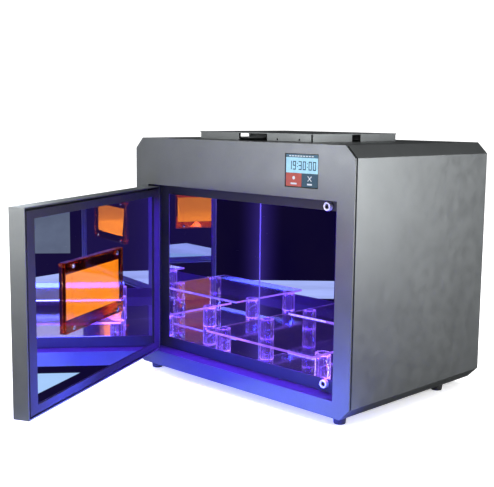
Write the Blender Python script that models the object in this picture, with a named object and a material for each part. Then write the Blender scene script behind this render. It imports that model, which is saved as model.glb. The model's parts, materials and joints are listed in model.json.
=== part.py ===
"""UV curing cabinet with a mirror-lined chamber and a side-hinged door.

Lengths are written in millimetres and turned into metres where a mesh is made.
X runs to the right seen from the front, Y runs from the front to the back, Z up.
The origin is the middle of the base plate's underside. The door stands open.
"""
import math

import bmesh
import bpy
from mathutils import Matrix, Vector

MM = 0.001

# ---------------------------------------------------------------- driving sizes
CASE_W = 410.0
CASE_D = 288.0
CASE_H = 333.0
CHAMFER = 15.0
SHEET = 1.5
GAP = 0.3
FRONT = -CASE_D / 2

OPEN_ANGLE = 64.0
BASE_HALF = 164.7

# ---------------------------------------------------------------- front and rear panels
PANEL_T = 2.0
SEAM = 2.5
RIM_INSET = 3.8
RIM_DEPTH = 10.0
RIM_T = 1.2
REAR_FACE = FRONT + 285.0

# ---------------------------------------------------------------- door opening and recess
OPEN_HALF = 178.3
OPEN_Z = (21.0, 265.9)
RECESS_Y = FRONT + 25.5
MOUTH_HALF = 161.0
MOUTH_Z = (37.5, 251.0)

# ---------------------------------------------------------------- chamber
MIRROR_X = 163.0
MIRROR_Y = FRONT + 219.7
MIRROR_Z = (20.6, 266.5)
MIRROR_T = 3.0
BOX_T = 1.2
BOX_FRONT = RECESS_Y + SHEET + GAP
STRIP_COUNT = 4
STRIP_W = 10.0
STRIP_T = 1.6
BEAD = 0.5
BEAD_GAP = 0.2

# ---------------------------------------------------------------- shelf
SHELF_HALF = 103.0
SHELF_Y = (FRONT + 48.0, FRONT + 214.0)
SHELF_T = 3.5
POST_R = 11.0
POST_BORE = 6.5
POST_H = 29.7
POST_X = 97.0
POST_Y = (FRONT + 77.0, FRONT + 170.0)

# ---------------------------------------------------------------- door, in its own frame at the hinge axis
AXIS_X = -176.9
AXIS_Y = FRONT - 1.7
DOOR_X = (1.6, 353.7)
DOOR_Z = (22.3, 263.8)
DOOR_T = 20.3
FRAME_INSET = 4.0
FRAME_BORDER = (20.0, 13.8)
WINDOW_X = 199.3
WINDOW_Z = 147.6
WINDOW_HOLE = (140.5, 56.9)
WINDOW_OUTER = (206.0, 78.0)
PANE = (150.0, 86.4)
PANE_T = 4.0
SCREW_SPACING = (113.3, 75.8)

# ---------------------------------------------------------------- hinges
HINGE_Z = (80.0, 204.0)
HINGE_LEN = 26.0
KNUCKLE_R = 3.0
PIN_R = 1.5
LEAF_T = 1.0
LEAF_REACH = 18.0

# ---------------------------------------------------------------- small parts
MAGNET_X = 146.0
MAGNET_Z = (32.0, 256.5)
MAGNET_R = 5.5
MAGNET_BORE = 3.2
SCREEN_X = (94.0, 148.0)
SCREEN_Z = (279.2, 320.2)
CAP_HALF = 105.7
CAP_Y = (FRONT + 36.6, FRONT + 213.7)
CAP_H = 10.6
CAP_T = 1.5
CAP_VENT = (26.5, 9.0)
CAP_SLIT = 2.2
FOOT_X = 177.4
FOOT_Y = (FRONT + 16.7, FRONT + 228.0)
FOOT_H = 10.3
FAN_X = 120.0
FAN_Z = 300.0
FAN_SIZE = 50.0
INLET_X = 135.0
INLET_Z = 48.0
SWITCH_X = 135.0
SWITCH_Z = 92.0
SWITCH_TILT = 8.0


# ================================================================ helpers
def clear_scene():
    for obj in list(bpy.data.objects):
        bpy.data.objects.remove(obj, do_unlink=True)


def material(name, color, roughness, metallic=0.0, alpha=1.0):
    mat = bpy.data.materials.get(name)
    if mat:
        return mat
    mat = bpy.data.materials.new(name)
    mat.use_nodes = True
    shader = mat.node_tree.nodes["Principled BSDF"]
    shader.inputs["Base Color"].default_value = (*color, 1.0)
    shader.inputs["Roughness"].default_value = roughness
    shader.inputs["Metallic"].default_value = metallic
    shader.inputs["Alpha"].default_value = alpha
    mat.diffuse_color = (*color, alpha)
    return mat


PAINT = ("gunmetal_paint", (0.16, 0.17, 0.18), 0.42, 0.6)
DARK_PAINT = ("dark_paint", (0.05, 0.05, 0.055), 0.5, 0.4)
STEEL = ("zinc_steel", (0.55, 0.56, 0.58), 0.35, 1.0)
CHROME = ("chrome", (0.8, 0.8, 0.82), 0.12, 1.0)
MIRROR = ("mirror", (0.9, 0.9, 0.92), 0.02, 1.0)
ACRYLIC = ("clear_acrylic", (0.8, 0.75, 1.0), 0.05, 0.0, 0.35)
ORANGE = ("orange_acrylic", (1.0, 0.38, 0.02), 0.06, 0.0, 0.6)
RUBBER = ("black_rubber", (0.02, 0.02, 0.022), 0.8)
PLASTIC = ("black_plastic", (0.03, 0.03, 0.032), 0.45)
BOARD = ("circuit_board", (0.02, 0.16, 0.07), 0.5)
GLASS = ("screen_glass", (0.25, 0.45, 0.5), 0.1)
LIGHT = ("violet_light", (0.35, 0.2, 1.0), 0.4)


def finish(obj, look, parent=None, smooth=False):
    """Give an object its look and its parent, and smooth its round faces."""
    obj.data.materials.clear()
    obj.data.materials.append(material(*look))
    if parent:
        obj.parent = parent
    if smooth:
        obj.data.shade_smooth()
        obj.data.set_sharp_from_angle(angle=math.radians(35))
    return obj


def to_object(bm, name, location=(0, 0, 0)):
    bmesh.ops.recalc_face_normals(bm, faces=bm.faces)
    mesh = bpy.data.meshes.new(name)
    bm.to_mesh(mesh)
    bm.free()
    obj = bpy.data.objects.new(name, mesh)
    obj.location = Vector(location) * MM
    bpy.context.scene.collection.objects.link(obj)
    return obj


def loft(name, loops, ring=False, location=(0, 0, 0)):
    """Skin a stack of loops with equal point counts; a ring joins last to first."""
    bm = bmesh.new()
    rows = [[bm.verts.new(Vector(p) * MM) for p in loop] for loop in loops]
    pairs = list(zip(rows, rows[1:]))
    if ring:
        pairs.append((rows[-1], rows[0]))
    else:
        bm.faces.new(rows[0])
        bm.faces.new(rows[-1])
    for low, high in pairs:
        count = len(low)
        for i in range(count):
            j = (i + 1) % count
            bm.faces.new((low[i], low[j], high[j], high[i]))
    return to_object(bm, name, location)


def box(name, x, y, z, location=(0, 0, 0)):
    """A block from its low and high values on each axis."""
    loops = [[(x[0], y[0], h), (x[1], y[0], h), (x[1], y[1], h), (x[0], y[1], h)] for h in z]
    return loft(name, loops, location=location)


def circle(radius, axis, along, count=32, phase=0.0):
    """Points of a circle about a named axis, at a distance along it."""
    points = []
    for i in range(count):
        angle = phase + math.tau * i / count
        u, v = radius * math.cos(angle), radius * math.sin(angle)
        points.append({"X": (along, u, v), "Y": (u, along, v), "Z": (u, v, along)}[axis])
    return points


def turned(name, profile, axis, location, count=32, ring=False):
    """A turned solid from (radius, distance along the axis) pairs."""
    loops = [circle(radius, axis, along, count) for radius, along in profile]
    return loft(name, loops, ring=ring, location=location)


def boolean(obj, other, operation):
    other.hide_render = True
    other.display_type = "WIRE"
    other.parent = obj.parent
    step = obj.modifiers.new(other.name, "BOOLEAN")
    step.operation = operation
    step.solver = "EXACT"
    step.object = other


def cut(obj, *cutters):
    for cutter in cutters:
        boolean(obj, cutter, "DIFFERENCE")


def join(obj, *pieces):
    for piece in pieces:
        boolean(obj, piece, "UNION")


def empty(name, location, rotation_z=0.0):
    obj = bpy.data.objects.new(name, None)
    obj.location = Vector(location) * MM
    obj.rotation_euler = (0, 0, math.radians(rotation_z))
    bpy.context.scene.collection.objects.link(obj)
    return obj


def octagon(inset, y):
    """The case's chamfered outline, drawn in by an inset, as a loop at depth y."""
    half = CASE_W / 2 - inset
    low, high = inset, CASE_H - inset
    corner = CHAMFER - inset * (2 - math.sqrt(2))
    right = [(half - corner, low), (half, low + corner), (half, high - corner), (half - corner, high)]
    outline = right + [(-px, pz) for px, pz in reversed(right)]
    return [(px, y, pz) for px, pz in outline]


def rectangle(x0, x1, z0, z1, y):
    return [(x0, y, z0), (x1, y, z0), (x1, y, z1), (x0, y, z1)]


def offset_line(points, distance):
    """Offset an open outline to its left by a distance, with mitred corners."""
    result = []
    for i, point in enumerate(points):
        before = Vector(point) - Vector(points[i - 1]) if i else None
        after = Vector(points[i + 1]) - Vector(point) if i < len(points) - 1 else None
        sides = [Vector((-d.y, d.x)).normalized() for d in (before, after) if d is not None]
        mitre = sum(sides, Vector((0, 0))).normalized()
        result.append(Vector(point) + mitre * (distance / mitre.dot(sides[0])))
    return result


# ================================================================ case
def case_cover():
    """Folded cover: top, sides, four chamfers and two flanges turned in below."""
    half = CASE_W / 2
    right = [
        (BASE_HALF + GAP, 0),
        (half - CHAMFER, 0),
        (half, CHAMFER),
        (half, CASE_H - CHAMFER),
        (half - CHAMFER, CASE_H),
    ]
    outer = right + [(-px, pz) for px, pz in reversed(right)]
    inner = offset_line(outer, SHEET)
    outline = list(outer) + [tuple(p) for p in reversed(inner)]
    depth = (FRONT + PANEL_T + SEAM, FRONT + CASE_D)
    loops = [[(px, y, pz) for px, pz in outline] for y in depth]
    cover = loft("case_cover", loops)
    middle = (CAP_Y[0] + CAP_Y[1]) / 2
    for i in range(5):
        x = 36.0 * (i - 2)
        slot_y = (middle - 60, middle + 60)
        cut(cover, box(f"cut_top_vent_{i}", (x - 3, x + 3), slot_y, (CASE_H - 4, CASE_H + 3)))
    return finish(cover, PAINT)


def base_plate():
    """Base plate between the cover's flanges, with a ledge on top of each one."""
    low, high = SHEET + GAP, 2 * SHEET + GAP
    right = [(BASE_HALF, 0), (BASE_HALF, low), (BASE_HALF + 21, low), (BASE_HALF + 21, high)]
    outline = right + [(-px, pz) for px, pz in reversed(right)]
    depth = (FRONT + PANEL_T + SEAM, FRONT + 286)
    loops = [[(px, y, pz) for px, pz in outline] for y in depth]
    return finish(loft("base_plate", loops), PAINT)


def front_panel():
    """Front sheet with a rim turned back behind the shadow line."""
    back = FRONT + PANEL_T
    rim = back + RIM_DEPTH
    panel = loft("front_panel", [
        octagon(0, FRONT),
        octagon(0, back),
        octagon(RIM_INSET, back),
        octagon(RIM_INSET, rim),
        octagon(RIM_INSET + RIM_T, rim),
        octagon(RIM_INSET + RIM_T, back),
    ])
    through = (FRONT - 5, back + 5)
    cut(panel, box("cut_door_opening", (-OPEN_HALF, OPEN_HALF), through, OPEN_Z))
    screen_x = (SCREEN_X[0] - GAP, SCREEN_X[1] + GAP)
    screen_z = (SCREEN_Z[0] - GAP, SCREEN_Z[1] + GAP)
    cut(panel, box("cut_screen_window", screen_x, through, screen_z))
    for i, z in enumerate(HINGE_Z):
        notch_z = (z - HINGE_LEN / 2 - 1.5, z + HINGE_LEN / 2 + 2)
        notch_x = (AXIS_X - KNUCKLE_R - 0.7, -OPEN_HALF + 5)
        cut(panel, box(f"cut_hinge_notch_{i}", notch_x, through, notch_z))
    return finish(panel, PAINT)


def door_recess():
    """Pan behind the door opening: four jambs and a flange round the mouth."""
    z0, z1 = OPEN_Z
    outer = (-OPEN_HALF - SHEET, OPEN_HALF + SHEET, z0 - SHEET, z1 + SHEET)
    inner = (-OPEN_HALF, OPEN_HALF, z0, z1)
    mouth = (-MOUTH_HALF, MOUTH_HALF, *MOUTH_Z)
    near = FRONT + PANEL_T + GAP
    recess = loft("door_recess", [
        rectangle(*outer, near),
        rectangle(*outer, RECESS_Y + SHEET),
        rectangle(*mouth, RECESS_Y + SHEET),
        rectangle(*mouth, RECESS_Y),
        rectangle(*inner, RECESS_Y),
        rectangle(*inner, near),
    ], ring=True)
    return finish(recess, PAINT)


def rear_panel():
    back = REAR_FACE
    inside = back - SHEET
    rim = back - RIM_DEPTH
    panel = loft("rear_panel", [
        octagon(RIM_INSET, back),
        octagon(RIM_INSET, rim),
        octagon(RIM_INSET + RIM_T, rim),
        octagon(RIM_INSET + RIM_T, inside),
    ])
    hole = (FAN_SIZE / 2 - 3, inside - back - 3), (FAN_SIZE / 2 - 3, 3)
    cut(panel, turned("cut_fan_hole", hole, "Y", (FAN_X, back, FAN_Z)))
    through = (inside - 3, back + 3)
    cut(panel, box("cut_inlet", (INLET_X - 14, INLET_X + 14), through, (INLET_Z - 10.5, INLET_Z + 10.5)))
    cut(panel, box("cut_switch", (SWITCH_X - 7, SWITCH_X + 7), through, (SWITCH_Z - 10, SWITCH_Z + 10)))
    for row in range(2):
        for i in range(9):
            x = -150.0 + 14.0 * i
            z = 60.0 + 190.0 * row
            cut(panel, box(f"cut_vent_{row}_{i}", (x - 2, x + 2), through, (z, z + 40)))
    return finish(panel, PAINT)


def vent_cap():
    """Shallow cap on the case top, with an outlet in the middle of each side."""
    z0 = CASE_H + GAP
    z1 = z0 + CAP_H
    half = CAP_HALF
    y0, y1 = CAP_Y

    def loop(inset, z):
        return [(-half + inset, y0 + inset, z), (half - inset, y0 + inset, z),
                (half - inset, y1 - inset, z), (-half + inset, y1 - inset, z)]

    cap = loft("vent_cap", [
        loop(0, z1), loop(0, z0), loop(CAP_T, z0), loop(CAP_T, z1 - CAP_T)])
    middle = (y0 + y1) / 2
    outlet_z = (z0 - 2, z1 - CAP_T)
    wide, narrow = CAP_VENT
    cut(cap, box("cut_cap_front", (-wide, wide), (y0 - 2, y0 + 3), outlet_z))
    cut(cap, box("cut_cap_rear", (-wide, wide), (y1 - 3, y1 + 2), outlet_z))
    cut(cap, box("cut_cap_left", (-half - 2, -half + 3), (middle - narrow, middle + narrow), outlet_z))
    cut(cap, box("cut_cap_right", (half - 3, half + 2), (middle - narrow, middle + narrow), outlet_z))
    for sx in (-1, 1):
        for y, sy in ((y0, 1), (y1, -1)):
            xs = sorted((sx * (half + 1), sx * (half - CAP_SLIT)))
            ys = sorted((y - sy, y + sy * CAP_SLIT))
            cut(cap, box(f"cut_cap_corner_{sx}_{sy}", xs, ys, outlet_z))
    for i, x in enumerate((45.0, 84.0)):
        hole = [(1.2, y0 - 2), (1.2, y0 + 4)]
        cut(cap, turned(f"cut_cap_hole_{i}", hole, "Y", (x, 0, z0 + 2.6), count=16))
    finish(cap, PAINT)


def feet():
    names = ("foot_front_left", "foot_front_right", "foot_rear_left", "foot_rear_right")
    places = [(x, y) for y in FOOT_Y for x in (-FOOT_X, FOOT_X)]
    profile = [(8.5, -GAP), (8.5, -2.5), (7.4, -FOOT_H), (3.4, -FOOT_H), (3.4, -5.0)]
    for name, (x, y) in zip(names, places):
        foot = turned(name, profile, "Z", (x, y, 0), count=40)
        finish(foot, RUBBER, smooth=True)


# ================================================================ chamber
def chamber_box():
    """Sheet box behind the recess, open to the front."""
    inside = (MIRROR_X + MIRROR_T + GAP, MIRROR_Z[0] - MIRROR_T - GAP, MIRROR_Z[1] + MIRROR_T + GAP)
    inner = (-inside[0], inside[0], inside[1], inside[2])
    outer = (inner[0] - BOX_T, inner[1] + BOX_T, inner[2] - BOX_T, inner[3] + BOX_T)
    back = MIRROR_Y + MIRROR_T + GAP
    chamber = loft("chamber_box", [
        rectangle(*inner, back),
        rectangle(*inner, BOX_FRONT),
        rectangle(*outer, BOX_FRONT),
        rectangle(*outer, back + BOX_T),
    ])
    return finish(chamber, STEEL)


def mirrors():
    """Five mirror plates that line the chamber, a hair apart at the corners."""
    front = BOX_FRONT + GAP
    side_y = (front, MIRROR_Y + MIRROR_T)
    flat_y = (front, MIRROR_Y - GAP)
    side_z = (MIRROR_Z[0] - MIRROR_T, MIRROR_Z[1] + MIRROR_T)
    between = (-MIRROR_X + GAP, MIRROR_X - GAP)
    finish(box("mirror_left", (-MIRROR_X - MIRROR_T, -MIRROR_X), side_y, side_z), MIRROR)
    finish(box("mirror_right", (MIRROR_X, MIRROR_X + MIRROR_T), side_y, side_z), MIRROR)
    finish(box("mirror_back", between, (MIRROR_Y, MIRROR_Y + MIRROR_T), side_z), MIRROR)
    finish(box("mirror_floor", between, flat_y, (MIRROR_Z[0] - MIRROR_T, MIRROR_Z[0])), MIRROR)
    finish(box("mirror_ceiling", between, flat_y, (MIRROR_Z[1], MIRROR_Z[1] + MIRROR_T)), MIRROR)


def lights():
    """Light strips across the ceiling, and a fine glowing bead in each rear corner."""
    ceiling = MIRROR_Z[1] - GAP
    for i in range(STRIP_COUNT):
        y = FRONT + 52 + 44 * i
        strip = box(f"light_strip_{i + 1}", (-150, 150), (y, y + STRIP_W), (ceiling - STRIP_T, ceiling))
        finish(strip, LIGHT)
    y = (MIRROR_Y - BEAD_GAP - BEAD, MIRROR_Y - BEAD_GAP)
    for hand, side in (("left", -1), ("right", 1)):
        x = sorted((side * (MIRROR_X - BEAD_GAP), side * (MIRROR_X - BEAD_GAP - BEAD)))
        finish(box(f"corner_bead_{hand}", x, y, (MIRROR_Z[0] + GAP, ceiling)), LIGHT)


def shelf(parent):
    """Loose clear shelf: a plate on four clear tubes."""
    floor = MIRROR_Z[0] + GAP
    top = floor + POST_H + GAP
    finish(box("shelf_plate", (-SHELF_HALF, SHELF_HALF), SHELF_Y, (top, top + SHELF_T)), ACRYLIC, parent)
    names = ("shelf_post_front_left", "shelf_post_front_right", "shelf_post_rear_left", "shelf_post_rear_right")
    places = [(x, y) for y in POST_Y for x in (-POST_X, POST_X)]
    profile = [(POST_R, 0), (POST_R, POST_H), (POST_BORE, POST_H), (POST_BORE, 0)]
    for name, (x, y) in zip(names, places):
        post = turned(name, profile, "Z", (x, y, floor), count=40, ring=True)
        finish(post, ACRYLIC, parent, smooth=True)


def catches():
    """Ring magnets on the recess flange, each held by a countersunk screw."""
    face = RECESS_Y - GAP
    length = 5.7
    magnet = [(MAGNET_R, 0), (MAGNET_R, 0.6 - length), (MAGNET_R - 0.6, -length), (MAGNET_BORE, -length), (MAGNET_BORE, 0)]
    screw = [(1.2, -4.0), (2.7, -4.6), (2.7, -3.6), (2.0, -2.8), (2.0, 0)]
    for name, z in zip(("lower", "upper"), MAGNET_Z):
        place = (MAGNET_X, face, z)
        finish(turned(f"catch_magnet_{name}", magnet, "Y", place, ring=True), CHROME, smooth=True)
        finish(turned(f"catch_screw_{name}", screw, "Y", place, count=24), STEEL, smooth=True)


# ================================================================ electrics
def screen():
    glass_y = (FRONT + 0.8, FRONT + 3.2)
    finish(box("touch_screen", SCREEN_X, glass_y, SCREEN_Z), GLASS)
    y = glass_y[1] + GAP
    board = box("screen_board", (90, 152), (y, y + 1.6), (275, 324))
    join(board, box("add_connector", (104, 120), (y + 1, y + 6), (277, 283)))
    join(board, box("add_driver", (112, 126), (y + 1, y + 3), (296, 310)))
    finish(board, BOARD)


def controller_board():
    """Driver board on four spacers above the chamber."""
    low = MIRROR_Z[1] + MIRROR_T + GAP + BOX_T + GAP
    z = low + 8.0
    board = box("controller_board", (-60, 60), (-40, 40), (z, z + 1.6))
    for sx in (-1, 1):
        for sy in (-1, 1):
            spacer = turned(f"add_spacer_{sx}_{sy}", [(3, low), (3, z + 0.8)], "Z", (54 * sx, 34 * sy, 0), count=16)
            join(board, spacer)
    blocks = (((-50, -22), (-30, -8), 12), ((-10, 14), (-10, 12), 4), ((24, 46), (-32, -20), 9), ((24, 46), (14, 30), 16))
    for i, (x, y, height) in enumerate(blocks):
        join(board, box(f"add_block_{i}", x, y, (z + 0.8, z + 1.6 + height)))
    finish(board, BOARD)


def power_supply():
    y0, y1 = FRONT + 228, FRONT + 272
    supply = box("power_supply", (-60, 60), (y0, y1), (2 * SHEET + 2 * GAP, 62))
    for i in range(8):
        x = -38.0 + 11.0 * i
        cut(supply, box(f"cut_supply_slot_{i}", (x - 2, x + 2), (y0 + 8, y1 - 8), (58, 66)))
    finish(supply, STEEL)


def fan(pivot):
    """Square fan frame with struts, and a seven-bladed rotor."""
    half = FAN_SIZE / 2
    bore = half - 2
    y0 = REAR_FACE - SHEET - GAP - 15
    y1 = REAR_FACE - SHEET - GAP
    frame = box("fan_frame", (FAN_X - half, FAN_X + half), (y0, y1), (FAN_Z - half, FAN_Z + half))
    cut(frame, turned("cut_fan_bore", [(bore, y0 - 2), (bore, y1 + 2)], "Y", (FAN_X, 0, FAN_Z), count=48))
    join(frame, box("add_strut_0", (FAN_X - half + 1, FAN_X + half - 1), (y0, y0 + 1.5), (FAN_Z - 2, FAN_Z + 2)))
    join(frame, box("add_strut_1", (FAN_X - 2, FAN_X + 2), (y0, y0 + 1.5), (FAN_Z - half + 1, FAN_Z + half - 1)))
    join(frame, turned("add_motor", [(9.5, y0), (9.5, y0 + 1.5)], "Y", (FAN_X, 0, FAN_Z)))
    finish(frame, PLASTIC, smooth=True)

    hub = turned("fan_rotor", [(10, -4.5), (10, 5), (8.5, 5.8)], "Y", (0, 0, 0), count=36)
    for i in range(7):
        blade = fan_blade(f"add_blade_{i}", math.tau * i / 7)
        blade.parent = pivot
        hub.parent = pivot
        join(hub, blade)
    finish(hub, PLASTIC, pivot, smooth=True)


def fan_blade(name, angle):
    """A twisted blade from the hub to just short of the frame's bore."""
    sections = []
    for radius, chord, pitch in ((8.5, 9.0, 50.0), (15.0, 10.5, 38.0), (21.0, 11.5, 28.0)):
        tilt = math.radians(pitch)
        along = Vector((math.cos(tilt), math.sin(tilt)))
        across = Vector((-math.sin(tilt), math.cos(tilt)))
        loop = []
        for u, v in ((-0.5, -0.5), (0.5, -0.5), (0.5, 0.5), (-0.5, 0.5)):
            flat = along * (u * chord) + across * (v * 1.1)
            point = Vector((radius, flat.y * 0.75, flat.x))
            loop.append(Matrix.Rotation(angle, 3, "Y") @ point)
        sections.append(loop)
    return loft(name, sections)


def fan_guard():
    """Finger guard: three rings joined by crossed bars."""
    y = (REAR_FACE + GAP, REAR_FACE + GAP + 1.6)
    place = (FAN_X, 0, FAN_Z)

    def ring(name, radius):
        profile = [(radius + 0.9, y[0]), (radius + 0.9, y[1]), (radius - 0.9, y[1]), (radius - 0.9, y[0])]
        return turned(name, profile, "Y", place, count=40, ring=True)

    guard = ring("fan_guard", 24.0)
    join(guard, box("add_guard_bar_0", (FAN_X - 24, FAN_X + 24), (y[0] + 0.1, y[1] - 0.1), (FAN_Z - 0.8, FAN_Z + 0.8)))
    join(guard, box("add_guard_bar_1", (FAN_X - 0.8, FAN_X + 0.8), (y[0] + 0.1, y[1] - 0.1), (FAN_Z - 24, FAN_Z + 24)))
    join(guard, ring("add_guard_ring_0", 16.0))
    join(guard, ring("add_guard_ring_1", 8.0))
    finish(guard, CHROME, smooth=True)


def power_inlet():
    """Panel-mounted mains inlet: a flange, a socket and three blades."""
    face = REAR_FACE + GAP
    x, z = INLET_X, INLET_Z
    inlet = box("power_inlet", (x - 24, x + 24), (face, face + 2), (z - 14, z + 14))
    join(inlet, box("add_inlet_body", (x - 13.5, x + 13.5), (face - 24, face + 1), (z - 10, z + 10)))
    cut(inlet, box("cut_inlet_socket", (x - 11.5, x + 11.5), (face - 15, face + 4), (z - 8, z + 8)))
    for i, (dx, dz) in enumerate(((-7, -2), (0, 3), (7, -2))):
        blade_x = (x + dx - 1, x + dx + 1)
        join(inlet, box(f"add_blade_pin_{i}", blade_x, (face - 17, face - 1), (z + dz - 2, z + dz + 2)))
    finish(inlet, PLASTIC)


def power_switch(pivot):
    """Rocker switch: a housing with a bezel, and a rocker on its own axis."""
    face = REAR_FACE + GAP
    x, z = SWITCH_X, SWITCH_Z
    housing = box("switch_housing", (x - 8, x + 8), (face, face + 2), (z - 11, z + 11))
    join(housing, box("add_switch_body", (x - 6.5, x + 6.5), (face - 14, face + 1), (z - 9.5, z + 9.5)))
    cut(housing, box("cut_switch_well", (x - 5, x + 5), (face - 12, face + 4), (z - 8, z + 8)))
    finish(housing, PLASTIC)

    profile = [(-7.0, 5.2), (-7.0, 2.5), (-3.5, -4.5), (3.5, -4.5), (7.0, 2.5), (7.0, 5.2), (0.0, 4.6)]
    tilt = Matrix.Rotation(math.radians(SWITCH_TILT), 3, "X")
    loops = [[tilt @ Vector((px, py, pz)) for pz, py in profile] for px in (-4.6, 4.6)]
    finish(loft("power_switch", loops), PLASTIC, pivot)


# ================================================================ hinges
def knuckle(name, low, high, place):
    profile = [(KNUCKLE_R, low), (KNUCKLE_R, high)]
    return turned(name, profile, "Z", place, count=28)


def leaf(name, side, spans, pivot, place, z):
    """One hinge leaf: a plate along the door's thickness and its knuckles."""
    x = sorted((side * 0.25, side * (0.25 + LEAF_T)))
    length = (z - HINGE_LEN / 2, z + HINGE_LEN / 2)
    clear = KNUCKLE_R + 0.5
    ox, oy = place[0], place[1]
    plate = box(name, (ox + x[0], ox + x[1]), (oy + clear, oy + LEAF_REACH), length)
    plate.parent = pivot
    for i, (low, high) in enumerate(spans):
        tongue = box(f"add_{name}_tongue_{i}", (ox + x[0], ox + x[1]), (oy, oy + clear + 1), (z + low, z + high))
        barrel = knuckle(f"add_{name}_knuckle_{i}", z + low, z + high, (ox, oy, 0))
        join(plate, tongue, barrel)
    bore = turned(f"cut_{name}_bore", [(PIN_R + GAP, z - 20), (PIN_R + GAP, z + 20)], "Z", (ox, oy, 0), count=28)
    cut(plate, bore)
    finish(plate, STEEL, pivot, smooth=True)


def hinges(pivot):
    """Two butt hinges: outer knuckles on the cabinet, the middle one on the door."""
    half = HINGE_LEN / 2
    third = HINGE_LEN / 3
    for word, z in zip(("lower", "upper"), HINGE_Z):
        outer = ((-half, -half + third - GAP), (half - third + GAP, half))
        middle = ((-half + third, half - third),)
        leaf(f"hinge_leaf_cabinet_{word}", -1, outer, None, (AXIS_X, AXIS_Y), z)
        leaf(f"hinge_leaf_door_{word}", 1, middle, pivot, (0, 0), z)
        profile = [(PIN_R, z - half - 0.5), (PIN_R, z + half + 0.3), (2.4, z + half + 0.3), (2.4, z + half + 1.3)]
        finish(turned(f"hinge_pin_{word}", profile, "Z", (AXIS_X, AXIS_Y, 0), count=24), STEEL, smooth=True)


# ================================================================ door
def door_shell(pivot):
    """Folded outer pan of the door, open towards the chamber."""
    x0, x1 = DOOR_X
    z0, z1 = DOOR_Z
    outer = (x0, x1, z0, z1)
    inner = (x0 + SHEET, x1 - SHEET, z0 + SHEET, z1 - SHEET)
    shell = loft("door_shell", [
        rectangle(*outer, 0),
        rectangle(*outer, DOOR_T),
        rectangle(*inner, DOOR_T),
        rectangle(*inner, SHEET),
    ])
    shell.parent = pivot
    w, h = WINDOW_OUTER[0] / 2, WINDOW_OUTER[1] / 2
    cut(shell, box("cut_shell_window", (WINDOW_X - w, WINDOW_X + w), (-3, 5), (WINDOW_Z - h, WINDOW_Z + h)))
    for i, z in enumerate(HINGE_Z):
        reach = HINGE_LEN / 2 + 2
        relief = [(KNUCKLE_R + 0.5, z - reach), (KNUCKLE_R + 0.5, z + reach)]
        cut(shell, turned(f"cut_door_relief_{i}", relief, "Z", (0, 0, 0), count=28))
    finish(shell, PAINT, pivot)


def door_lining(pivot):
    """Inner frame, mirror, orange pane and the pane's four screws."""
    x0, x1 = DOOR_X
    z0, z1 = DOOR_Z
    outer = (x0 + FRAME_INSET, x1 - FRAME_INSET, z0 + FRAME_INSET, z1 - FRAME_INSET)
    bx, bz = FRAME_BORDER
    inner = (x0 + bx, x1 - bx, z0 + bz, z1 - bz)
    face = DOOR_T
    frame = loft("door_frame", [
        rectangle(*outer, face - SHEET),
        rectangle(*outer, face),
        rectangle(*inner, face),
        rectangle(*inner, face - SHEET),
    ], ring=True)
    finish(frame, PAINT, pivot)

    glass = face - SHEET - GAP
    mirror = box("door_mirror", (x0 + 9, x1 - 9), (glass - MIRROR_T, glass), (z0 + 9, z1 - 9))
    mirror.parent = pivot
    w, h = WINDOW_HOLE[0] / 2, WINDOW_HOLE[1] / 2
    cut(mirror, box("cut_mirror_window", (WINDOW_X - w, WINDOW_X + w), (5, 30), (WINDOW_Z - h, WINDOW_Z + h)))

    w, h = PANE[0] / 2, PANE[1] / 2
    low = glass + GAP
    pane = box("orange_window", (WINDOW_X - w, WINDOW_X + w), (low, low + PANE_T), (WINDOW_Z - h, WINDOW_Z + h))
    pane.parent = pivot
    head = low + PANE_T + GAP
    screw = [(1.4, low - 6), (1.4, head), (3.1, head), (3.1, head + 0.9), (2.0, head + 1.7)]
    number = 0
    for sx in (-1, 1):
        for sz in (-1, 1):
            number += 1
            place = (WINDOW_X + sx * SCREW_SPACING[0] / 2, 0, WINDOW_Z + sz * SCREW_SPACING[1] / 2)
            hole = [(1.4 + GAP, low - 8), (1.4 + GAP, head + 2)]
            for target in (mirror, pane):
                cutter = turned(f"cut_{target.name}_screw_{number}", hole, "Y", place, count=20)
                cut(target, cutter)
            finish(turned(f"window_screw_{number}", screw, "Y", place, count=20), STEEL, pivot, smooth=True)
    finish(mirror, MIRROR, pivot)
    finish(pane, ORANGE, pivot)


def door_handle(pivot):
    """Slim vertical pull on the door's outer face, near its free edge."""
    x = DOOR_X[1] - 26
    z = (DOOR_Z[0] + DOOR_Z[1]) / 2
    section = [(-6, -GAP), (-6, -7), (-4, -10.5), (5, -11.5), (7, -9.5), (4, -6), (4, -GAP)]
    loops = [[(x + px, py, z + dz) for px, py in section] for dz in (-50, 50)]
    finish(loft("door_handle", loops), DARK_PAINT, pivot)


# ================================================================ assembly
def build():
    clear_scene()
    door_pivot = empty("door_pivot", (AXIS_X, AXIS_Y, 0), rotation_z=-OPEN_ANGLE)
    fan_pivot = empty("fan_pivot", (FAN_X, REAR_FACE - SHEET - GAP - 7.0, FAN_Z))
    switch_pivot = empty("switch_pivot", (SWITCH_X, REAR_FACE - 4.0, SWITCH_Z))
    shelf_base = empty("shelf_base", (0, 0, 0))
    case_cover()
    base_plate()
    front_panel()
    door_recess()
    rear_panel()
    vent_cap()
    feet()
    chamber_box()
    mirrors()
    lights()
    shelf(shelf_base)
    catches()
    screen()
    controller_board()
    power_supply()
    fan(fan_pivot)
    fan_guard()
    power_inlet()
    power_switch(switch_pivot)
    hinges(door_pivot)
    door_shell(door_pivot)
    door_lining(door_pivot)
    door_handle(door_pivot)
    bpy.context.view_layer.update()


build()
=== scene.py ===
"""UV curing cabinet: materials, fine meshes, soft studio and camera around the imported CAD."""

import json
import math

import bmesh
import bpy
from mathutils import Matrix, Vector


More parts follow.
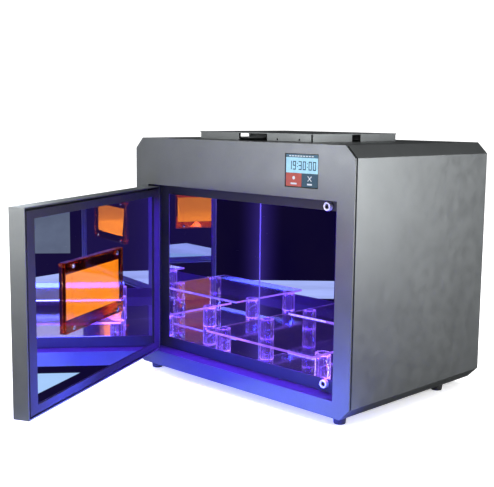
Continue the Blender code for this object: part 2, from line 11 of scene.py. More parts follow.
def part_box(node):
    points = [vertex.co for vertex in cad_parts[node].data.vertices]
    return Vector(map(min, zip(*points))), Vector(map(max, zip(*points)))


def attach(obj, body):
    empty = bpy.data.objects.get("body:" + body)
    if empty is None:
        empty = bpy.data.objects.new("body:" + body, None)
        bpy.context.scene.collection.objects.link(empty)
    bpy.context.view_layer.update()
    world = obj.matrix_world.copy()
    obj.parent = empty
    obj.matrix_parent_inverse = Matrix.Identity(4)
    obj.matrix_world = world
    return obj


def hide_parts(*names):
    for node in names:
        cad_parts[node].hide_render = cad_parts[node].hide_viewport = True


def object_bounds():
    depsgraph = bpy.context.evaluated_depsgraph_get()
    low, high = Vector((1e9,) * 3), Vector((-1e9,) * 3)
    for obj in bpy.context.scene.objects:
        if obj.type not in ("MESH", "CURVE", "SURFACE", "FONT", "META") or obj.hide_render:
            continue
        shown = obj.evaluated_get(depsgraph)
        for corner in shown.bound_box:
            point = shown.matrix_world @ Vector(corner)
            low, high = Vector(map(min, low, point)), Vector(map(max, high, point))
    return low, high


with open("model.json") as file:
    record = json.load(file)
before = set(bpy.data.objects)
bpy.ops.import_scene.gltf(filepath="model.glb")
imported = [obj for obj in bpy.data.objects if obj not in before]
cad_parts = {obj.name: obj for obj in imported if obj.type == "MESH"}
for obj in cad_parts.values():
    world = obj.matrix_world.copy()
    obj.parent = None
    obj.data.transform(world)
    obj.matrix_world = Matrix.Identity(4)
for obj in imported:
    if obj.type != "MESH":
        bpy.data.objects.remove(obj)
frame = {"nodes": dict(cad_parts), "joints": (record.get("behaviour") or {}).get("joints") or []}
cad_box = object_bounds()
nodes = frame["nodes"]
MM = 0.001
cad_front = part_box("front_panel")[0].y
ground = cad_box[0].z


# ================================================================ camera
CAMERA_SPOT = (0.8762, -0.9855, 0.3647)
CAMERA_ANGLES = (-45.2228, -7.8458, 0.6239)  # yaw, pitch and roll in degrees


def make_camera():
    yaw, pitch, roll = (math.radians(angle) for angle in CAMERA_ANGLES)
    forward = Vector((math.sin(yaw) * math.cos(pitch), math.cos(yaw) * math.cos(pitch), math.sin(pitch)))
    flat_right = Vector((math.cos(yaw), -math.sin(yaw), 0))
    flat_up = flat_right.cross(forward)
    right = flat_right * math.cos(roll) + flat_up * math.sin(roll)
    up = flat_up * math.cos(roll) - flat_right * math.sin(roll)
    data = bpy.data.cameras.new("camera")
    data.lens = 67.15
    data.sensor_width = 36
    camera = bpy.data.objects.new("camera", data)
    bpy.context.scene.collection.objects.link(camera)
    turn = Matrix((right, up, -forward)).transposed().to_4x4()
    camera.matrix_world = Matrix.Translation(CAMERA_SPOT) @ turn
    bpy.context.scene.camera = camera


# ================================================================ materials
def opaque(value):
    """Adds alpha 1 to an RGB colour and leaves a plain number as it is."""
    return (*value, 1.0) if isinstance(value, tuple) and len(value) == 3 else value


class Look:
    """Short-hand for one node material around a Principled shader."""

    def __init__(self, name, color, **sockets):
        self.material = bpy.data.materials.new(name)
        self.material.use_nodes = True
        self.tree = self.material.node_tree
        self.shader = self.tree.nodes["Principled BSDF"]
        self.material.diffuse_color = (*color, 1)
        self.set("Base_Color", color)
        for socket, value in sockets.items():
            self.set(socket, value)
        self.coords = self.node("ShaderNodeTexCoord").outputs["Object"]

    def set(self, socket, value):
        self.shader.inputs[socket.replace("_", " ")].default_value = opaque(value)

    def node(self, kind, inputs=(), **settings):
        node = self.tree.nodes.new(kind)
        for key, value in settings.items():
            setattr(node, key, value)
        for key, value in dict(inputs).items():
            if hasattr(value, "is_output"):
                self.tree.links.new(value, node.inputs[key])
            else:
                node.inputs[key].default_value = value
        return node

    def link(self, output, socket):
        self.tree.links.new(output, self.shader.inputs[socket])

    def noise(self, scale, detail=3.0, stretch=None):
        vector = self.coords
        if stretch:
            vector = self.node("ShaderNodeMapping", {"Vector": vector, "Scale": stretch}).outputs[0]
        inputs = {"Vector": vector, "Scale": scale, "Detail": detail, "Roughness": 0.55}
        return self.node("ShaderNodeTexNoise", inputs).outputs["Fac"]

    def span(self, value, low, high, from_low=0.3, from_high=0.7):
        """Maps from_low to from_high onto low to high; the defaults suit a noise."""
        inputs = {0: value, 1: from_low, 2: from_high, 3: low, 4: high}
        return self.node("ShaderNodeMapRange", inputs).outputs[0]

    def mix(self, factor, one, two):
        node = self.node("ShaderNodeMix", data_type="RGBA")
        for socket, value in ((node.inputs[0], factor), (node.inputs[6], one), (node.inputs[7], two)):
            if hasattr(value, "is_output"):
                self.tree.links.new(value, socket)
            else:
                socket.default_value = opaque(value)
        return node.outputs[2]

    def math(self, operation, one, two=0.0):
        return self.node("ShaderNodeMath", {0: one, 1: two}, operation=operation).outputs[0]

    def bump(self, height, strength, distance, under=None):
        inputs = {"Height": height, "Strength": strength, "Distance": distance}
        if under is not None:
            inputs["Normal"] = under
        return self.node("ShaderNodeBump", inputs).outputs[0]

    def edges(self, radius, low=0.02, high=0.25):
        """1 on the model's sharp edges, falling to 0 on its flats."""
        # The mask drives edge wear on paint, and painted glow on acrylic rims and cut edges.
        bevel_normal = self.node("ShaderNodeBevel", {"Radius": radius}, samples=4).outputs[0]
        normal = self.node("ShaderNodeNewGeometry").outputs["Normal"]
        dot = self.node("ShaderNodeVectorMath", {0: bevel_normal, 1: normal}, operation="DOT_PRODUCT").outputs["Value"]
        return self.span(self.math("SUBTRACT", 1.0, dot), 0.0, 1.0, low, high)


def tone(color, factor):
    return tuple(min(1.0, channel * factor) for channel in color)


def paint(name, color, rough=0.37, metallic=0.8, wear=0.5):
    """Satin metallic powder coat: fine flake, a slight orange peel and lighter edges."""
    look = Look(name, color, Metallic=metallic, Roughness=rough)
    cloud = look.noise(22, 4)
    flake = look.noise(2400, 2)
    body = look.mix(look.span(cloud, 0.0, 1.0), tone(color, 0.92), tone(color, 1.07))
    body = look.mix(look.span(flake, 0.0, 0.5), body, tone(color, 1.35))
    scuff = look.math("MULTIPLY", look.edges(0.0007), look.span(look.noise(130, 5), 0.3, 1.0))
    body = look.mix(look.math("MULTIPLY", scuff, wear), body, tone(color, 2.4))
    look.link(body, "Base Color")
    look.link(look.span(look.noise(60, 5), rough - 0.04, rough + 0.05), "Roughness")
    peel = look.bump(look.noise(620, 3), 0.25, 0.00012)
    look.link(look.bump(flake, 0.12, 0.00005, peel), "Normal")
    return look.material


def brushed(name, color, rough=0.32, along=(1, 1, 40), metallic=1.0):
    """Drawn or brushed bare metal with fine lines and faint stains."""
    look = Look(name, color, Metallic=metallic, Roughness=rough)
    lines = look.noise(160, 4, stretch=along)
    body = look.mix(look.span(lines, 0.0, 1.0), tone(color, 0.85), tone(color, 1.1))
    look.link(look.mix(look.span(look.noise(45, 4), 0.0, 0.35), body, tone(color, 0.7)), "Base Color")
    look.link(look.span(lines, rough - 0.07, rough + 0.1), "Roughness")
    look.link(look.bump(lines, 0.18, 0.00004), "Normal")
    return look.material


def mirror(name, back, painted_glow=0.012):
    """Silvered acrylic mirror: faint smears, a painted violet glow that is stronger near the corner bead where the
    lamps stand, a dark coating behind.
    """
    look = Look(name, (0.80, 0.81, 0.90), Metallic=1.0, Roughness=0.0)
    smear_and_glow_noise = look.noise(9, 5)
    look.link(look.bump(look.noise(3.5, 1), 0.02, 0.0006), "Normal")
    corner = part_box("corner_bead_left")[0]
    place = look.node("ShaderNodeNewGeometry").outputs["Position"]
    corner = (corner.x, corner.y, 0)
    away = look.node("ShaderNodeVectorMath", {0: place, 1: corner}, operation="SUBTRACT").outputs[0]
    away = look.node("ShaderNodeVectorMath", {0: away}, operation="ABSOLUTE").outputs[0]
    parts = look.node("ShaderNodeSeparateXYZ", {0: away}).outputs
    # Painted violet glow: emission strongest near the corner bead, plus an even painted glow over the whole sheet.
    near = look.span(look.math("ADD", parts[0], parts[1]), 0.28, 0.0, 0.0, 0.055)
    near = look.math("MULTIPLY", near, near)
    strength = look.math("ADD", look.math("MULTIPLY", near, look.span(smear_and_glow_noise, 0.8, 1.2)), painted_glow)
    violet = look.mix(look.span(look.noise(7, 3), 0.0, 1.0), (0.15, 0.08, 1.0), (0.28, 0.18, 1.0))
    look.link(violet, "Emission Color")
    normal = look.node("ShaderNodeTexCoord").outputs["Normal"]
    toward = look.node("ShaderNodeVectorMath", {0: normal, 1: back}, operation="DOT_PRODUCT").outputs["Value"]
    front = look.span(toward, 1.0, 0.0, 0.4, 0.6)
    look.link(front, "Metallic")
    look.link(look.math("MULTIPLY", strength, front), "Emission Strength")
    silver = look.mix(look.span(smear_and_glow_noise, 0.0, 1.0), (0.79, 0.80, 0.90), (0.82, 0.83, 0.91))
    look.link(look.mix(front, (0.03, 0.03, 0.033), silver), "Base Color")
    smudge = look.span(look.noise(70, 4), 0.0, 0.03, 0.55, 0.75)
    coating = look.math("MULTIPLY", look.math("SUBTRACT", 1.0, front), 0.5)
    look.link(look.math("ADD", smudge, coating), "Roughness")
    return look.material


def clear_acrylic(name, fill, rim_glow, cut_glow, outline=0.0):
    """Clear acrylic that glows violet where light leaves it.

    With an outline value the piece is a tube, which glows at its rims and its silhouette. Without
    one it is a plate, which glows at its upright cut sides.
    """
    look = Look(name, (0.90, 0.86, 1.0), Roughness=0.03, IOR=1.49, Transmission_Weight=1.0)
    rim = look.math("MULTIPLY", look.edges(0.0009, 0.01, 0.4), rim_glow)
    normal = look.node("ShaderNodeNewGeometry").outputs["Normal"]
    upright = look.math("ABSOLUTE", look.node("ShaderNodeSeparateXYZ", {0: normal}).outputs[2])
    cut = look.span(upright, *((0.0, cut_glow) if outline else (cut_glow, 0.0)), 0.2, 0.8)
    strength = look.math("ADD", look.math("ADD", rim, cut), fill)
    if outline:
        facing = look.node("ShaderNodeLayerWeight", {"Blend": 0.3}).outputs["Facing"]
        strength = look.math("ADD", strength, look.span(facing, 0.0, outline, 0.25, 0.95))
    glow = look.mix(look.span(look.noise(60, 4), 0.0, 1.0), (0.22, 0.08, 0.9), (0.45, 0.20, 1.0))
    look.link(glow, "Emission Color")
    uneven = look.span(look.noise(25, 3), 0.85, 1.15)
    look.link(look.math("MULTIPLY", strength, uneven), "Emission Strength")
    look.link(look.span(look.noise(400, 3), 0.01, 0.05), "Roughness")
    look.link(look.bump(look.noise(320, 3), 0.02, 0.00003), "Normal")
    return look.material


def orange_acrylic(name):
    """See-through orange acrylic with darker red cut edges that carry a faint painted red glow."""
    look = Look(name, (0.60, 0.155, 0.004), Roughness=0.02, IOR=1.49, Transmission_Weight=1.0)
    rim = look.edges(0.0016, 0.01, 0.3)
    tint = look.mix(look.span(look.noise(14, 3), 0.0, 1.0), (0.58, 0.15, 0.004), (0.62, 0.16, 0.005))
    look.link(look.mix(rim, tint, (0.40, 0.015, 0.003)), "Base Color")
    # Painted red glow on the cut edges.
    look.set("Emission_Color", (0.5, 0.02, 0.004))
    look.link(look.math("MULTIPLY", rim, 0.35), "Emission Strength")
    look.link(look.span(look.noise(260, 4), 0.01, 0.06), "Roughness")
    look.link(look.bump(look.noise(120, 3), 0.04, 0.00005), "Normal")
    return look.material


def rubber(name):
    """Dull black rubber with a fine grain."""
    look = Look(name, (0.018, 0.018, 0.02), Roughness=0.75)
    grain = look.noise(900, 4)
    look.link(look.mix(look.span(grain, 0.0, 1.0), (0.013, 0.013, 0.014), (0.028, 0.028, 0.03)), "Base Color")
    look.link(look.span(look.noise(80, 4), 0.6, 0.85), "Roughness")
    look.link(look.bump(grain, 0.3, 0.00015), "Normal")
    return look.material


def plastic(name, color, rough=0.45):
    """Moulded plastic with a fine spark-eroded grain."""
    look = Look(name, color, Roughness=rough)
    grain = look.noise(1500, 3)
    look.link(look.mix(look.span(look.noise(40, 4), 0.0, 1.0), tone(color, 0.85), tone(color, 1.2)), "Base Color")
    look.link(look.span(grain, rough - 0.06, rough + 0.08), "Roughness")
    look.link(look.bump(grain, 0.3, 0.00008), "Normal")
    return look.material


def board(name):
    """Green circuit board with a lighter pattern of tracks."""
    look = Look(name, (0.01, 0.10, 0.04), Roughness=0.4)
    cells = look.node("ShaderNodeTexVoronoi", {"Vector": look.coords, "Scale": 260.0}, distance="MANHATTAN")
    tracks = look.span(cells.outputs["Distance"], 0.0, 1.0, 0.25, 0.32)
    look.link(look.mix(tracks, (0.02, 0.16, 0.07), (0.008, 0.08, 0.03)), "Base Color")
    look.link(look.bump(tracks, 0.4, 0.00005), "Normal")
    look.link(look.span(look.noise(90, 3), 0.35, 0.5), "Roughness")
    return look.material


def glowing(name, color, strength):
    """A lit surface that is faintly uneven."""
    look = Look(name, tone(color, 0.12), Roughness=0.5, Specular_IOR_Level=0.15)
    shade = look.mix(look.span(look.noise(200, 3), 0.0, 1.0), tone(color, 0.9), tone(color, 1.08))
    look.link(shade, "Emission Color")
    look.set("Emission_Strength", strength)
    look.link(look.bump(look.noise(900, 2), 0.05, 0.00003), "Normal")
    return look.material


# ================================================================ meshes
def soften(name):
    """Welds a CAD node and rounds its sharp edges."""
    piece = nodes[name]
    weld = piece.modifiers.new("weld", "WELD")
    weld.merge_threshold = 0.002 * MM
    bevel = piece.modifiers.new("bevel", "BEVEL")
    bevel.width = 0.4 * MM
    bevel.segments = 2
    bevel.limit_method = "ANGLE"
    bevel.angle_limit = math.radians(30)
    bevel.harden_normals = True
    bevel.use_clamp_overlap = True


def assign(material, *names):
    """Gives the named CAD nodes one material."""
    for name in names:
        for slot in nodes[name].material_slots:
            slot.material = material


# ================================================================ studio
WHITE = (1, 1, 1)
NEAR_BLACK = (0.01, 0.01, 0.02)
UPWARD = (0, 0, 1)


def add_mesh(name, bm):
    """Links a new object made of the bmesh and returns it."""
    mesh = bpy.data.meshes.new(name)
    bm.to_mesh(mesh)
    bm.free()
    obj = bpy.data.objects.new(name, mesh)
    bpy.context.scene.collection.objects.link(obj)
    return obj


def card(name, center, size, facing, color, strength, up=(0, 1, 0), seen_by=("glossy",), outline=()):
    """A board that shows only in the object's reflections, or through its clear parts.

    It is a rectangle of the given size, or has the outline given in metres.
    """
    bm = bmesh.new()
    if outline:
        bm.faces.new([bm.verts.new((x, y, 0)) for x, y in outline])
    else:
        bmesh.ops.create_grid(bm, x_segments=1, y_segments=1, size=0.5)
    obj = add_mesh(name, bm)
    normal = Vector(facing).normalized()
    across = Vector(up).cross(normal).normalized()
    along = normal.cross(across)
    turn = Matrix((across, along, normal)).transposed().to_4x4()
    obj.matrix_world = Matrix.Translation(center) @ turn @ Matrix.Diagonal((size[0], size[1], 1, 1))
    look = Look(name, (0, 0, 0), Roughness=1.0, Specular_IOR_Level=0.0)
    look.set("Emission_Strength", strength)
    patchy_emission = look.noise(2.2, 4)
    look.link(look.mix(look.span(patchy_emission, 0.0, 1.0), tone(color, 0.7), color), "Emission Color")
    obj.data.materials.append(look.material)
    obj.visible_camera = False
    obj.visible_diffuse = False
    obj.visible_shadow = False
    obj.visible_glossy = "glossy" in seen_by
    obj.visible_transmission = "transmission" in seen_by


def lamp(name, position, target, size, power, color=WHITE, glossy=True, up="Y", spread=180):
    """A rectangular area light that the camera doesn't see; sizes in metres, power in watts."""
    data = bpy.data.lights.new(name, "AREA")
    data.shape = "RECTANGLE"
    data.size, data.size_y = size
    data.energy = power
    data.spread = math.radians(spread)
    data.color = color
    obj = bpy.data.objects.new(name, data)
    bpy.context.scene.collection.objects.link(obj)
    obj.location = position
    obj.rotation_euler = (Vector(target) - Vector(position)).to_track_quat("-Z", up).to_euler()
    obj.visible_camera = False
    obj.visible_glossy = glossy


def light_paths():
    """Colour transform, bounce limits and the white world, which mirrors don't see."""
    scene = bpy.context.scene
    scene.view_settings.view_transform = "Standard"
    scene.cycles.max_bounces = 24
    scene.cycles.glossy_bounces = 12
    scene.cycles.transmission_bounces = 14
    scene.cycles.transparent_max_bounces = 16
    world = bpy.data.worlds.new("studio")
    scene.world = world
    world.use_nodes = True
    background = world.node_tree.nodes["Background"]
    background.inputs["Color"].default_value = opaque(WHITE)
    background.inputs["Strength"].default_value = 1.1
    world.cycles_visibility.glossy = False


def add_floor():
    """A wide sheet of pale paper, bright enough to meet the white background."""
    bm = bmesh.new()
    bmesh.ops.create_grid(bm, x_segments=8, y_segments=8, size=60.0)
    floor = add_mesh("floor", bm)
    floor.location = (0, 0, ground)
    floor.visible_glossy = False
    look = Look("floor_paper", (0.95, 0.95, 0.95), Roughness=0.9, Specular_IOR_Level=0.1)
    look.link(look.mix(look.noise(3, 3), (0.94, 0.94, 0.94), (0.96, 0.96, 0.96)), "Base Color")
    look.set("Emission_Color", WHITE)
    look.set("Emission_Strength", 0.4)
    floor.data.materials.append(look.material)


def studio():
    """Floor, boards for the reflections, soft lamps and the chamber's violet light."""
    light_paths()
    add_floor()

    toward = Vector((0.7071, -0.7071, 0))
    front = Vector((0, cad_front, 0))
    table = front + toward * 0.235
    dark = front + toward * 0.94
    wall = front + toward * 1.6
    # The two table cards below are painted pools of violet light on the table in front, seen only in reflections;
    # the first also through clear parts.
    card("table_glow", (table.x, table.y, ground + 0.001), (0.62, 0.21), UPWARD, (0.52, 0.62, 1.0), 1.3,
         up=toward, seen_by=("glossy", "transmission"))
    card("dark_floor", (dark.x, dark.y, ground + 0.0006), (1.2, 1.2), UPWARD, NEAR_BLACK, 0.5,
         up=toward, seen_by=("transmission",))
    card("dark_wall", (wall.x, wall.y, 0.75), (2.0, 1.6), -toward, NEAR_BLACK, 0.5, up=UPWARD,
         seen_by=("transmission",))
    y = cad_front - 0.004
    outline = ((-0.044, y), (0.25, y), (0.25, y - 0.11), (0.011, y - 0.11))
    card("table_near_glow", (0, 0, ground + 0.0012), (1, 1), UPWARD, (0.45, 0.70, 1.0), 1.1, outline=outline)
    card("grey_cloth", (0.17, -0.9, ground + 0.085), (0.23, 0.17), (0, 1, 0), (0.20, 0.25, 0.27), 0.9, up=UPWARD)

    lamp("front_softbox", (-0.70, -1.5, 0.55), (0.08, -0.14, 0.22), (0.8, 0.9), 10.5)
    lamp("edge_softbox", (-0.18, -1.7, 0.35), (-0.02, -0.46, 0.2), (0.35, 0.5), 4)
    lamp("right_softbox", (1.20, 0.64, 0.4), (0.18, -0.05, 0.15), (0.5, 0.8), 12.5)
    lamp("sky", (0.2, -0.3, 2.6), (0, 0, 0), (2.6, 2.6), 30, glossy=False)
    lamp("left_softbox", (-2.1, 0.2, 1.0), (-0.2, 0, 0.2), (1.4, 1.4), 16, (0.86, 0.93, 1.0))

    low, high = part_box("mirror_ceiling")
    center = (low + high) / 2
    lamp("chamber_light", (center.x, center.y, low.z - 0.004), (center.x, center.y, 0), (0.28, 0.16), 16.0,
         (0.10, 0.02, 1.0), glossy=False)
    lamp("table_spill", (table.x - 0.1, table.y + 0.02, ground + 0.002), (table.x - 0.1, table.y + 0.02, 1),
         (0.50, 0.34), 4.0, (0.03, 0.05, 1.0), glossy=False)
    lamp("lip_glow", (0.02, cad_front - 0.15, ground + 0.03), (0.02, cad_front, 0.01), (0.40, 0.04), 1.6,
         (0.03, 0.06, 1.0), glossy=False, up="Z", spread=80)
    lamp("door_glow", (0.049, -0.336, ground + 0.02), (-0.046, -0.415, 0.03), (0.24, 0.03), 2.2,
         (0.06, 0.09, 1.0), glossy=False, up="Z", spread=90)
    lamp("ledge_glow", (0, cad_front + 0.010, 0.12), (0, cad_front + 0.010, 0.02), (0.31, 0.010), 0.9,
         (0.12, 0.02, 1.0), glossy=False, spread=50)


# ================================================================ fine meshes
door_hinge = next(joint for joint in frame["joints"] if joint["name"] == "door_hinge")
AXIS = Vector(door_hinge["pos_m"])
OPEN_ANGLE = math.radians(door_hinge["range_deg"][1])
# The open door's own axes: X along the door from the hinge, Y towards its inner side.
DOOR = Matrix.Translation((AXIS.x, AXIS.y, 0)) @ Matrix.Rotation(-OPEN_ANGLE, 4, "Z")


def new_piece(name, bm, material, body, replaced=(), place=None, smooth=40):
    """Turns a finished bmesh into a piece that rides on a CAD body; smooth is an angle in degrees."""
    bmesh.ops.recalc_face_normals(bm, faces=bm.faces)
    piece = add_mesh(name, bm)
    piece.data.materials.append(material)
    if smooth:
        piece.data.shade_smooth()
        piece.data.set_sharp_from_angle(angle=math.radians(smooth))
    if place is not None:
        piece.matrix_world = place
    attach(piece, body)
    if replaced:
        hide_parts(*replaced)


def ring_points(radius, along, axis, count, center):
    """Points in metres of one ring round the axis, from sizes in millimetres."""
    points = []
    for i in range(count):
        angle = math.tau * i / count
        u, v = radius * math.cos(angle), radius * math.sin(angle)
        offset = {"X": (along, u, v), "Y": (u, along, v), "Z": (u, v, along)}[axis]
        points.append(Vector(center) * MM + Vector(offset) * MM)
    return points


def add_turned(bm, profile, axis, center, count, closed=False):
    """Adds a turned solid from (radius, height) pairs in millimetres; closed makes it a tube."""
    rows = [[bm.verts.new(p) for p in ring_points(r, a, axis, count, center)] for r, a in profile]
    pairs = list(zip(rows, rows[1:]))
    if closed:
        pairs.append((rows[-1], rows[0]))
    else:
        bm.faces.new(rows[0])
        bm.faces.new(list(reversed(rows[-1])))
    for low, high in pairs:
        for i in range(count):
            j = (i + 1) % count
            bm.faces.new((low[i], low[j], high[j], high[i]))


def add_block(bm, x, y, z):
    """Adds a box from its ranges in millimetres."""
    corners = [[bm.verts.new(Vector((px, py, pz)) * MM) for px, py in
                ((x[0], y[0]), (x[1], y[0]), (x[1], y[1]), (x[0], y[1]))] for pz in z]
    low, high = corners
    bm.faces.new(list(reversed(low)))
    bm.faces.new(high)
    for i in range(4):
        j = (i + 1) % 4
        bm.faces.new((low[i], low[j], high[j], high[i]))


def box_mm(node):
    """A CAD node's two box corners in millimetres."""
    return [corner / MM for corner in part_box(node)]


# ================================================================ pieces
def shelf_posts():
    """Clear tubes with chamfered ends."""
    for end in ("front", "rear"):
        for hand in ("left", "right"):
            node = f"shelf_post_{end}_{hand}"
            low, high = box_mm(node)
            center = ((low.x + high.x) / 2, (low.y + high.y) / 2, low.z)
            top = high.z - low.z
            profile = [(10.6, 0), (11, 0.4), (11, top - 0.4), (10.6, top), (7.1, top), (6.6, top - 0.6),
                       (6.6, 0.6), (7.1, 0)]
            bm = bmesh.new()
            add_turned(bm, profile, "Z", center, count=72, closed=True)
            new_piece(f"post_{end}_{hand}", bm, POST, "shelf", (node,))


def feet():
    """Tapered rubber feet, each with its screw sunk in the underside."""
    for end in ("front", "rear"):
        for hand in ("left", "right"):
            node = f"foot_{end}_{hand}"
            low, high = box_mm(node)
            center = ((low.x + high.x) / 2, (low.y + high.y) / 2, 0)
            base, top = low.z, high.z
            profile = [(8.1, top), (8.5, top - 0.4), (8.45, top - 2.2), (8.2, top - 2.8), (7.6, base + 1.0),
                       (7.3, base + 0.3), (6.8, base), (4.0, base), (3.5, base + 0.5), (3.4, base + 5.3)]
            bm = bmesh.new()
            add_turned(bm, profile, "Z", center, count=64)
            new_piece(f"rubber_foot_{end}_{hand}", bm, RUBBER, "cabinet", (node,), smooth=50)
            bm = bmesh.new()
            head = [(3.1, base + 5.1), (3.1, base + 4.4), (2.3, base + 3.7), (1.0, base + 3.5)]
            add_turned(bm, head, "Z", center, count=32)
            new_piece(f"foot_screw_{end}_{hand}", bm, STEEL, "cabinet")


def catches():
    """Ring magnets, each with its dark countersunk screw."""
    for word in ("lower", "upper"):
        node = f"catch_magnet_{word}"
        low, high = box_mm(node)
        center = ((low.x + high.x) / 2, 0, (low.z + high.z) / 2)
        near, far = low.y, high.y
        profile = [(5.5, far), (5.5, near + 0.7), (5.3, near + 0.25), (4.9, near), (3.9, near), (3.5, near + 0.3),
                   (3.2, near + 0.9), (3.2, far)]
        bm = bmesh.new()
        add_turned(bm, profile, "Y", center, count=72, closed=True)
        new_piece(f"magnet_ring_{word}", bm, NICKEL, "cabinet", (node,), smooth=50)
        tip = box_mm(f"catch_screw_{word}")[0].y
        head = [(2.0, far), (2.0, tip + 2.2), (2.8, tip + 0.9), (2.75, tip + 0.25), (2.2, tip), (1.3, tip),
                (0.9, tip + 1.0)]
        bm = bmesh.new()
        add_turned(bm, head, "Y", center, count=48)
        new_piece(f"magnet_screw_{word}", bm, DARK_STEEL, "cabinet", (f"catch_screw_{word}",),
                  smooth=50)


def window_screws():
    """Pan heads with a small centre recess, on the door's inner side."""
    into_door = DOOR.inverted()
    for number in range(1, 5):
        node = f"window_screw_{number}"
        local = [into_door @ v.co for v in nodes[node].data.vertices]
        low = Vector([min(p[i] for p in local) for i in range(3)]) / MM
        high = Vector([max(p[i] for p in local) for i in range(3)]) / MM
        center = ((low.x + high.x) / 2, 0, (low.z + high.z) / 2)
        top = high.y
        profile = [(1.4, low.y), (1.4, top - 1.7), (3.1, top - 1.7), (3.1, top - 1.0), (2.8, top - 0.45),
                   (2.2, top - 0.12), (1.3, top), (0.8, top), (0.5, top - 0.7)]
        bm = bmesh.new()
        add_turned(bm, profile, "Y", center, count=40)
        new_piece(f"pane_screw_{number}", bm, CHROME, "door", (node,), place=DOOR, smooth=50)


def hinges():
    """Smooth hinge pins, and flush screws on both leaves, 11.5 mm from the axis."""
    for word in ("lower", "upper"):
        node = f"hinge_pin_{word}"
        low, high = box_mm(node)
        base, top = low.z, high.z
        profile = [(1.2, base), (1.5, base + 0.3), (1.5, top - 1.0), (2.4, top - 1.0), (2.4, top - 0.4), (1.9, top)]
        bm = bmesh.new()
        add_turned(bm, profile, "Z", (AXIS.x / MM, AXIS.y / MM, 0), count=40)
        new_piece(f"pin_{word}", bm, CHROME, "cabinet", (node,), smooth=50)
        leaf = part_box(f"hinge_leaf_cabinet_{word}")
        middle = ((leaf[0] + leaf[1]) / 2 / MM).z
        for i, step in enumerate((-7.5, 7.5)):
            head = [(2.1, -0.28), (2.1, -0.12), (1.7, -0.04), (0.9, -0.04), (0.6, -0.25)]
            bm = bmesh.new()
            add_turned(bm, head, "X", (AXIS.x / MM, AXIS.y / MM + 11.5, middle + step), count=32)
            new_piece(f"jamb_screw_{word}_{i}", bm, DARK_STEEL, "cabinet", smooth=50)
            bm = bmesh.new()
            add_turned(bm, [(r, -along) for r, along in head], "X", (0, 11.5, middle + step), count=32)
            new_piece(f"door_leaf_screw_{word}_{i}", bm, DARK_STEEL, "door", place=DOOR, smooth=50)


# Bars of a seven-segment digit, lettered clockwise from the top, with g in the middle.
SEGMENTS = {"0": "abcdef", "1": "bc", "3": "abcdg", "9": "abcdfg"}


def add_digit(bm, char, x, z, width, height, stroke, y):
    """Seven-segment digit as thin blocks; a colon is two dots."""
    if char == ":":
        for dot in (0.3, 0.7):
            add_block(bm, (x, x + stroke), (y, y + 0.04), (z + height * dot, z + height * dot + stroke))
        return
    half = height / 2
    bars = {
        "a": (x, x + width, z + height - stroke, z + height),
        "b": (x + width - stroke, x + width, z + half, z + height),
        "c": (x + width - stroke, x + width, z, z + half),
        "d": (x, x + width, z, z + stroke),
        "e": (x, x + stroke, z, z + half),
        "f": (x, x + stroke, z + half, z + height),
        "g": (x, x + width, z + half - stroke / 2, z + half + stroke / 2),
    }
    for segment in SEGMENTS[char]:
        x0, x1, z0, z1 = bars[segment]
        add_block(bm, (x0, x1), (y, y + 0.04), (z0, z1))


def screen_picture():
    """The lit picture under the touch screen's glass: a clock over two buttons."""
    low, high = box_mm("touch_screen")
    y = low.y - 0.1
    x0, x1, z0, z1 = low.x + 1.0, high.x - 0.8, low.z + 0.8, high.z - 0.8
    split = x0 + (x1 - x0) * 0.5
    panels = (
        ("screen_top_bar", (x0, x1), (z1 - 3.6, z1), glowing("ui_teal", (0.08, 0.18, 0.24), 0.8)),
        ("screen_clock_field", (x0, x1), (z0 + 16.6, z1 - 3.8), glowing("ui_cyan", (0.40, 0.72, 0.86), 0.9)),
        ("screen_red_key", (x0, split - 0.3), (z0, z0 + 16.4), glowing("ui_red", (0.48, 0.11, 0.085), 0.85)),
        ("screen_teal_key", (split + 0.3, x1), (z0, z0 + 16.4), glowing("ui_dark", (0.05, 0.10, 0.14), 0.9)),
    )
    for name, x, z, material in panels:
        bm = bmesh.new()
        add_block(bm, x, (y, y + 0.08), z)
        new_piece(name, bm, material, "cabinet", smooth=0)
    ink = glowing("ui_ink", (0.01, 0.04, 0.09), 0.8)
    bm = bmesh.new()
    x = x0 + 4.5
    for char in "19:30:00":
        step = 2.6 if char == ":" else 6.9
        add_digit(bm, char, x, z0 + 20.6, 4.9, 10.6, 1.15, y - 0.05)
        x += step
    new_piece("screen_digits", bm, ink, "cabinet", smooth=0)
    ink_depth = (y - 0.05, y - 0.01)
    pale = glowing("ui_pale", (0.68, 0.74, 0.78), 0.9)
    bm = bmesh.new()
    mid = (x0 + split) / 2
    add_turned(bm, [(2.2, y - 0.05), (2.2, y - 0.01)], "Y", (mid, 0, z0 + 10.5), count=24)
    add_block(bm, (mid - 5.0, mid + 5.0), ink_depth, (z0 + 2.4, z0 + 4.4))
    mid = (split + x1) / 2
    for side in (-1, 1):
        for i in range(6):
            t = -2.6 + i * 1.05
            add_block(bm, (mid + side * t - 0.6, mid + side * t + 0.6), ink_depth,
                      (z0 + 10.2 + t - 0.6, z0 + 10.2 + t + 0.6))
    add_block(bm, (mid - 4.0, mid + 4.0), ink_depth, (z0 + 2.4, z0 + 4.4))
    for i in range(9):
        add_block(bm, (x0 + 5 + i * 4.6, x0 + 8.2 + i * 4.6), ink_depth, (z1 - 2.6, z1 - 1.3))
    new_piece("screen_icons", bm, pale, "cabinet", smooth=0)


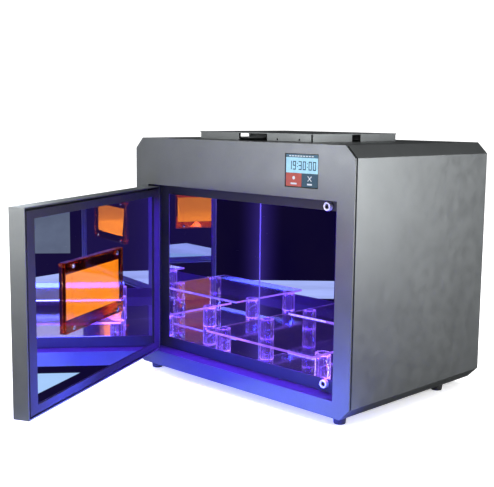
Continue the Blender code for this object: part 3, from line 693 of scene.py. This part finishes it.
def guard_wires():
    """The fan's finger guard as round wires: three rings and two crossed bars."""
    low, high = box_mm("fan_guard")
    center = (low + high) / 2
    wire = (high.y - low.y) / 2
    reach = (high.x - low.x) / 2 - wire
    steps = [math.tau * i / 12 for i in range(12)]
    bm = bmesh.new()
    for radius in (reach, reach * 0.66, reach * 0.33):
        profile = [(radius + wire * math.cos(a), center.y + wire * math.sin(a)) for a in steps]
        add_turned(bm, profile, "Y", (center.x, 0, center.z), count=72, closed=True)
    for axis in ("X", "Z"):
        offset = (0, center.y, center.z) if axis == "X" else (center.x, center.y, 0)
        middle = center.x if axis == "X" else center.z
        rod = [(wire * 0.9, middle - reach), (wire * 0.9, middle + reach)]
        add_turned(bm, rod, axis, offset, count=16)
    new_piece("guard_wires", bm, CHROME, "cabinet", ("fan_guard",), smooth=50)


def rear_details():
    """Pan-head screws round the rear panel."""
    low, high = box_mm("rear_panel")
    face = high.y
    spots = [(x, z) for x in (low.x + 26, 0, high.x - 26) for z in (low.z + 13, high.z - 13)]
    spots += [(x, (low.z + high.z) / 2) for x in (low.x + 11, high.x - 11)]
    for i, (x, z) in enumerate(spots):
        bm = bmesh.new()
        head = [(3.2, face + 0.05), (3.2, face + 0.7), (2.9, face + 1.3), (2.0, face + 1.8), (1.2, face + 1.9),
                (0.7, face + 0.9)]
        add_turned(bm, head, "Y", (x, 0, z), count=40)
        new_piece(f"rear_screw_{i + 1}", bm, DARK_STEEL, "cabinet", smooth=50)


# ================================================================ build
make_camera()
studio()
PAINT = paint("satin_gunmetal", (0.165, 0.175, 0.178))
LINING = paint("lining_paint", (0.026, 0.025, 0.03), rough=0.42, metallic=0.35, wear=0.3)
STEEL = brushed("zinc_plate", (0.62, 0.63, 0.65))
CHROME = brushed("bright_chrome", (0.88, 0.89, 0.93), rough=0.12)
NICKEL = brushed("nickel_ring", (0.92, 0.91, 0.95), rough=0.3, metallic=0.35)
DARK_STEEL = brushed("black_zinc", (0.05, 0.05, 0.06), rough=0.35)
PLATE = clear_acrylic("clear_shelf", 0.012, 0.6, 0.5)
POST = clear_acrylic("clear_posts", 0.05, 0.5, 0.35, outline=0.75)
ORANGE = orange_acrylic("orange_pane")
RUBBER = rubber("foot_rubber")
NYLON = plastic("black_nylon", (0.03, 0.03, 0.032))
BOARD = board("green_board")
VIOLET = glowing("violet_light", (0.26, 0.20, 0.80), 0.6)
GLASS = plastic("screen_glass", (0.01, 0.012, 0.016), rough=0.08)

assign(PAINT, "case_cover", "base_plate", "front_panel", "rear_panel", "vent_cap", "door_shell")
assign(LINING, "door_recess", "door_frame", "door_handle")
assign(STEEL, "chamber_box", "power_supply", "hinge_leaf_cabinet_lower", "hinge_leaf_cabinet_upper",
       "hinge_leaf_door_lower", "hinge_leaf_door_upper")
outward = DOOR.to_3x3() @ Vector((0, -1, 0))
# Each mirror sheet gets its own painted violet glow strength; the floor sheet glows most, the door sheet next.
for wall, back, painted_glow in (("left", (-1, 0, 0), 0.012), ("right", (1, 0, 0), 0.012), ("back", (0, 1, 0), 0.012),
                         ("floor", (0, 0, -1), 0.082), ("ceiling", (0, 0, 1), 0.012)):
    assign(mirror(f"{wall}_mirror_sheet", back, painted_glow), f"mirror_{wall}")
assign(mirror("door_mirror_sheet", tuple(outward), 0.03), "door_mirror")
assign(PLATE, "shelf_plate")
assign(ORANGE, "orange_window")
assign(NYLON, "fan_frame", "fan_rotor", "power_inlet", "switch_housing", "power_switch")
assign(BOARD, "screen_board", "controller_board")
assign(GLASS, "touch_screen")
assign(VIOLET, "light_strip_1", "light_strip_2", "light_strip_3", "light_strip_4", "corner_bead_left",
       "corner_bead_right")
for name in ("case_cover", "base_plate", "front_panel", "rear_panel", "vent_cap", "door_shell", "door_recess",
             "door_frame", "door_handle", "orange_window", "shelf_plate", "touch_screen", "power_inlet",
             "switch_housing", "power_switch"):
    soften(name)

shelf_posts()
feet()
catches()
window_screws()
hinges()
screen_picture()
guard_wires()
rear_details()

bpy.context.view_layer.update()
